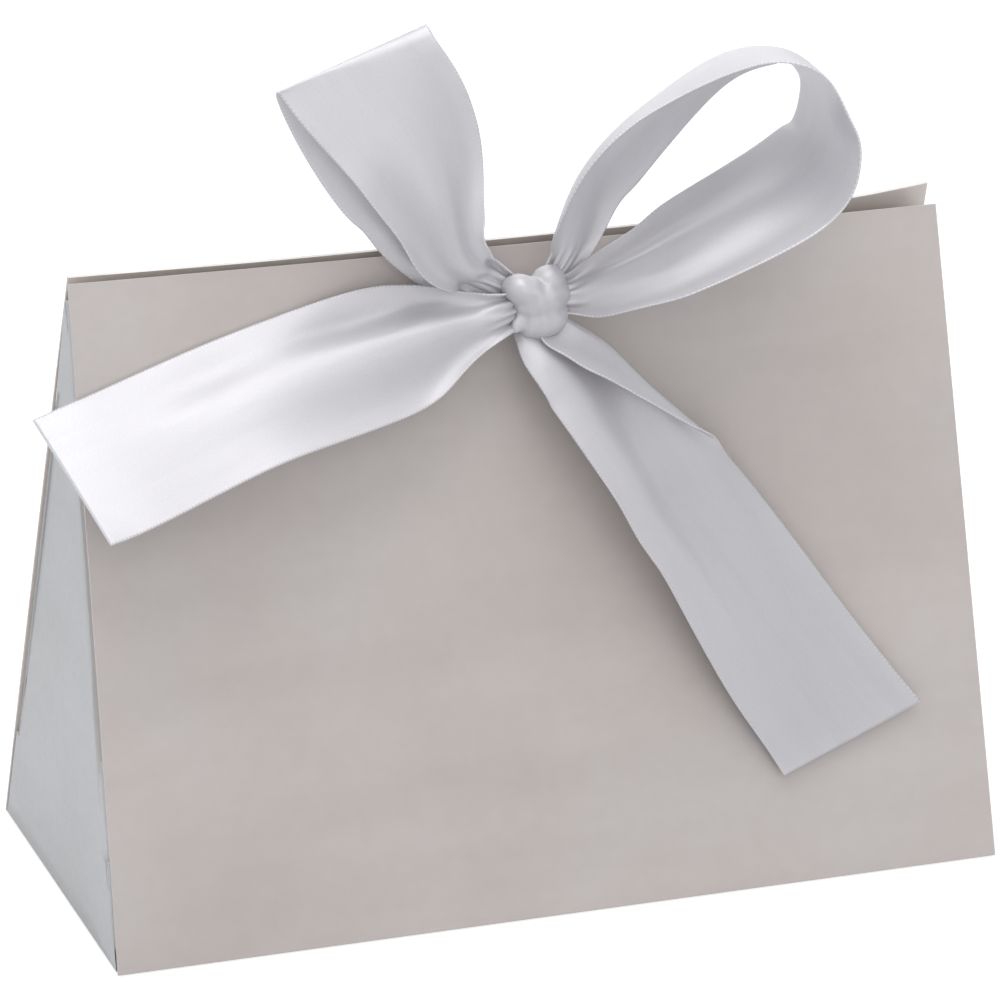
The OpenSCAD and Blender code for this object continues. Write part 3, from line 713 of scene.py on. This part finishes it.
# Each row is a bulge: its middle and half sizes (along, up, out) and its tilt in degrees
KNOT_BULGES = [
    [1.0, 0.5, 0.2, 5.0, 3.3, 4.1, 14],
    [1.2, -2.5, -0.4, 4.5, 3.5, 3.6, 12],
    [-1.7, 1.9, 1.1, 3.9, 2.6, 3.3, -24],
    [2.6, 3.2, 0.5, 2.8, 2.5, 2.9, 20],
]
KNOT_CREASE = 3.4  # more makes the creases between the bulges sharper
KNOT_NUB, NUB_HEIGHT, NUB_WIDTH = (-4.4, -4.0, 1.4), 1.9, 0.22
KNOT_FOLD, KNOT_FOLDS, FOLD_SLANT, FOLD_WAVE = 0.06, 13, 0.12, 1.2
KNOT_BACK = -3.6
KNOT_SEGMENTS, KNOT_RINGS = 120, 80


def knot_reach(ray):
    """Distance from the knot's middle to its surface along a ray."""
    reaches = []
    for u, s, n, a, b, c, tilt in KNOT_BULGES:
        turn = math.radians(tilt)

        def local(x, y, z):
            return Vector(((x * math.cos(turn) + y * math.sin(turn)) / a,
                           (y * math.cos(turn) - x * math.sin(turn)) / b, z / c))

        way, start = local(*ray), local(u, s, n)
        square = way.dot(way)
        cross = way.dot(start)
        root = max(cross ** 2 - square * (start.dot(start) - 1), 0)
        reaches.append((cross + math.sqrt(root)) / square)
    top = max(reaches)
    reach = top + math.log(sum(math.exp(KNOT_CREASE * (r - top)) for r in reaches)) / KNOT_CREASE
    nub = Vector(ray).angle(Vector(KNOT_NUB))
    return reach + NUB_HEIGHT * math.exp(-(nub / NUB_WIDTH) ** 3)


def knot_wrap():
    """The wrap over the crossing, flattened where it lies against the strands."""
    bm = bmesh.new()
    bmesh.ops.create_uvsphere(bm, u_segments=KNOT_SEGMENTS, v_segments=KNOT_RINGS, radius=1.0,
                              matrix=Matrix.Rotation(math.pi / 2, 4, "Y"))
    layer = bm.loops.layers.uv.new("along_ribbon")
    places = {}
    for vert in bm.verts:
        ray = vert.co.normalized()
        turn = math.atan2(ray.z, ray.y)
        slanted = ray.x + FOLD_SLANT * math.sin(turn)
        fold = KNOT_FOLD * math.sin(KNOT_FOLDS * slanted + FOLD_WAVE * math.sin(2 * turn))
        fold *= 1 - ray.x ** 2
        place = ray * (knot_reach(ray) + fold)
        places[vert.index] = ((ray.x + 1) / 2, turn / 2)
        vert.co = on_panel(KNOT_PLACE[0] + place.x, KNOT_PLACE[1] + place.y,
                           KNOT_PLACE[2] + max(place.z, KNOT_BACK))
    for face in bm.faces:
        for loop in face.loops:
            loop[layer].uv = places[loop.vert.index]
    bmesh.ops.recalc_face_normals(bm, faces=bm.faces)
    finish_piece("ribbon_knot_wrap", bm, [SATIN], "front_panel", ["ribbon_knot"],
                 SHARP_KNOT)


knot_wrap()
ribbon_strip("ribbon_left_tail_satin", LEFT_TAIL, steps=12, even=24, phase=0.4,
             hollows=LEFT_TAIL_HOLLOWS, node="ribbon_left_tail")
ribbon_strip("ribbon_right_tail_satin", RIGHT_TAIL, steps=12, even=16, phase=1.1,
             hollows=[], node="ribbon_right_tail")
ribbon_strip("ribbon_left_loop_satin", LEFT_LOOP, steps=10, even=10, phase=0.8,
             hollows=LEFT_LOOP_HOLLOWS, node="ribbon_left_loop")
ribbon_strip("ribbon_right_loop_satin", RIGHT_LOOP, steps=10, even=40, phase=0.2,
             hollows=RIGHT_LOOP_HOLLOWS, node="ribbon_right_loop")


# The gathered ribbon that passes through the holes
RUN_AROUND = 40
RUN_PLEATS, PLEAT_DEPTH, PLEAT_TWIST = 3.5, 0.13, 0.25
RUN_BELLY = 0.05
RUN_STEP = 0.06  # ribbon widths from one ring to the next
STRAND_ASIDE = 3.2  # from the knot's middle, where a front strand enters it


def gathered_run(name, path, radii, body, node):
    """A bundle of pleats drawn along a path of panel places."""
    bm = bmesh.new()
    rings = []
    side = -1 if body == "front_panel" else 1
    layer = bm.loops.layers.uv.new("along_ribbon")
    for i, (place, radius) in enumerate(zip(path, radii)):
        before, after = path[max(i - 1, 0)], path[min(i + 1, len(path) - 1)]
        along = (Vector(after) - Vector(before)).normalized()
        first = Vector((0, 1, 0)).cross(along)
        if first.length < 0.2:
            first = Vector((1, 0, 0))
        first.normalize()
        second = along.cross(first)
        ring = []
        for k in range(RUN_AROUND):
            turn = 2 * math.pi * k / RUN_AROUND
            pleat = abs(math.sin(RUN_PLEATS * turn + PLEAT_TWIST * i))
            wave = 1 - PLEAT_DEPTH * pleat - RUN_BELLY * math.cos(turn)
            spoke = math.cos(turn) * first + math.sin(turn) * second
            p = Vector(place) + radius * wave * spoke
            ring.append(bm.verts.new(on_panel(p.x, p.y, p.z, side)))
        rings.append(ring)
    for i in range(len(rings) - 1):
        for k in range(RUN_AROUND):
            a, b = rings[i][k], rings[i][(k + 1) % RUN_AROUND]
            c, d = rings[i + 1][(k + 1) % RUN_AROUND], rings[i + 1][k]
            face = bm.faces.new((a, b, c, d))
            for loop, uv in zip(face.loops, ((k, i), (k + 1, i), (k + 1, i + 1), (k, i + 1))):
                loop[layer].uv = (uv[0] / RUN_AROUND, uv[1] * RUN_STEP)
    bm.faces.new(rings[0])
    bm.faces.new(rings[-1])
    bmesh.ops.recalc_face_normals(bm, faces=bm.faces)
    finish_piece(name, bm, [SATIN], body, [node], SHARP_RIBBON)


def front_run(name, side):
    """A strand from between the panels through its hole into the knot."""
    x = side * HOLE_PITCH / 2
    inner = KNOT_PLACE[0] + side * STRAND_ASIDE
    path = [(x, HOLE_S, -3.3), (x, HOLE_S, -1.6), (x, HOLE_S, 0.4)]
    path += [(x + (inner - x) * t, HOLE_S, 0.4 + 2.6 * t) for t in (0.3, 0.6, 0.9, 1.2)]
    gathered_run(name, path, [2.0, 2.05, 2.1, 2.1, 2.1, 2.2, 2.3], "front_panel",
                 "ribbon_front_strands")


def back_run():
    """The strand that lies behind the back panel, from hole to hole."""
    half = [(5, -3.3, 2.0), (5, -1.2, 2.05), (4.9, 0.5, 1.5), (4.2, 1.5, 1.35), (2.6, 1.95, 1.3)]
    whole = [(-u, n, radius) for u, n, radius in half] + [(0, 2.1, 1.3)] + half[::-1]
    gathered_run("ribbon_back_gather", [(u, HOLE_S, n) for u, n, radius in whole],
                 [radius for u, n, radius in whole], "back_panel", "ribbon_back_strand")


front_run("ribbon_front_gather_left", -1)
front_run("ribbon_front_gather_right", 1)
back_run()


# Studio: pale floor, soft light and the camera of the picture
AIR_LIGHT = 0.70
FLOOR_HALF = 3.0
FLOOR_GLOW = 0.76
FLOOR_DOWN = 0.2  # millimetres, so that the floor and the base don't share a plane
LIT_PLACE = Vector((0, 0, 0.06))
LAMPS = [  # name, place, size and power of the lamp, colour
    ("soft_overhead", (-0.12, -0.08, 1.35), 1.2, 9.4, (1.0, 1.0, 1.0)),
    ("soft_front", (-0.25, -1.6, 0.9), 1.5, 5.2, (1.0, 0.985, 0.965)),
    ("soft_back", (0.3, 1.5, 0.9), 1.5, 3.8, (1.0, 1.0, 1.0))]
CAMERA_PLACE = Vector((-313.595, -847.191, 412.701)) * MM
CAMERA_RIGHT = Vector((0.94052, -0.339198, 0.0191509))
CAMERA_UP = Vector((0.106939, 0.34908, 0.930971))
CAMERA_LENS = 216.095


def studio_air(scene):
    world = bpy.data.worlds.new("studio_air")
    world.use_nodes = True
    scene.world = world
    tree = world.node_tree
    tree.nodes.clear()
    soft = add(tree, "ShaderNodeBackground",
               {"Color": (0.93, 0.95, 1.0, 1), "Strength": AIR_LIGHT})
    white = add(tree, "ShaderNodeBackground", {"Color": (1, 1, 1, 1), "Strength": 1.0})
    mixed = add(tree, "ShaderNodeMixShader",
                {0: background_rays(tree), 1: soft.outputs[0], 2: white.outputs[0]})
    add(tree, "ShaderNodeOutputWorld", {"Surface": mixed.outputs[0]})


def floor_finish():
    """A pale floor that is seen white but for the object's shadow, and isn't seen from below."""
    material = bpy.data.materials.new("pale_floor")
    material.use_nodes = True
    tree = material.node_tree
    tree.nodes.clear()
    pale = add(tree, "ShaderNodeBsdfDiffuse", {"Color": (0.88, 0.88, 0.88, 1)})
    shadow = add(tree, "ShaderNodeBsdfDiffuse", {"Color": (0.35, 0.35, 0.36, 1)})
    glow = add(tree, "ShaderNodeEmission", {"Color": (1, 1, 1, 1), "Strength": FLOOR_GLOW})
    white = add(tree, "ShaderNodeAddShader", {0: shadow.outputs[0], 1: glow.outputs[0]})
    above = add(tree, "ShaderNodeMixShader",
                {0: background_rays(tree), 1: pale.outputs[0], 2: white.outputs[0]})
    from_below = add(tree, "ShaderNodeNewGeometry").outputs["Backfacing"]
    open_air = add(tree, "ShaderNodeBsdfTransparent")
    mixed = add(tree, "ShaderNodeMixShader",
                {0: from_below, 1: above.outputs[0], 2: open_air.outputs[0]})
    add(tree, "ShaderNodeOutputMaterial", {"Surface": mixed.outputs[0]})
    return material


def studio_floor(scene):
    bm = bmesh.new()
    bmesh.ops.create_grid(bm, x_segments=1, y_segments=1, size=FLOOR_HALF)
    mesh = bpy.data.meshes.new("studio_floor")
    bm.to_mesh(mesh)
    bm.free()
    mesh.materials.append(floor_finish())
    floor = bpy.data.objects.new("studio_floor", mesh)
    scene.collection.objects.link(floor)
    floor.location.z = -FLOOR_DOWN * MM


def studio_lamp(scene, name, place, size, power, colour):
    lamp = bpy.data.lights.new(name, "AREA")
    lamp.shape = "DISK"
    lamp.size = size
    lamp.energy = power
    lamp.color = colour
    holder = bpy.data.objects.new(name, lamp)
    holder.location = place
    aim = LIT_PLACE - Vector(place)
    holder.rotation_euler = aim.to_track_quat("-Z", "Y").to_euler()
    scene.collection.objects.link(holder)


def picture_camera(scene):
    camera = bpy.data.cameras.new("picture_camera")
    camera.lens = CAMERA_LENS
    camera.sensor_width = 36.0
    camera.clip_start = 0.05
    holder = bpy.data.objects.new("picture_camera", camera)
    turn = Matrix((CAMERA_RIGHT, CAMERA_UP, CAMERA_RIGHT.cross(CAMERA_UP))).transposed()
    holder.matrix_world = Matrix.Translation(CAMERA_PLACE) @ turn.to_4x4()
    scene.collection.objects.link(holder)
    scene.camera = holder


def studio():
    scene = bpy.context.scene
    scene.view_settings.view_transform = "Standard"
    studio_air(scene)
    studio_floor(scene)
    for lamp in LAMPS:
        studio_lamp(scene, *lamp)
    picture_camera(scene)


studio()
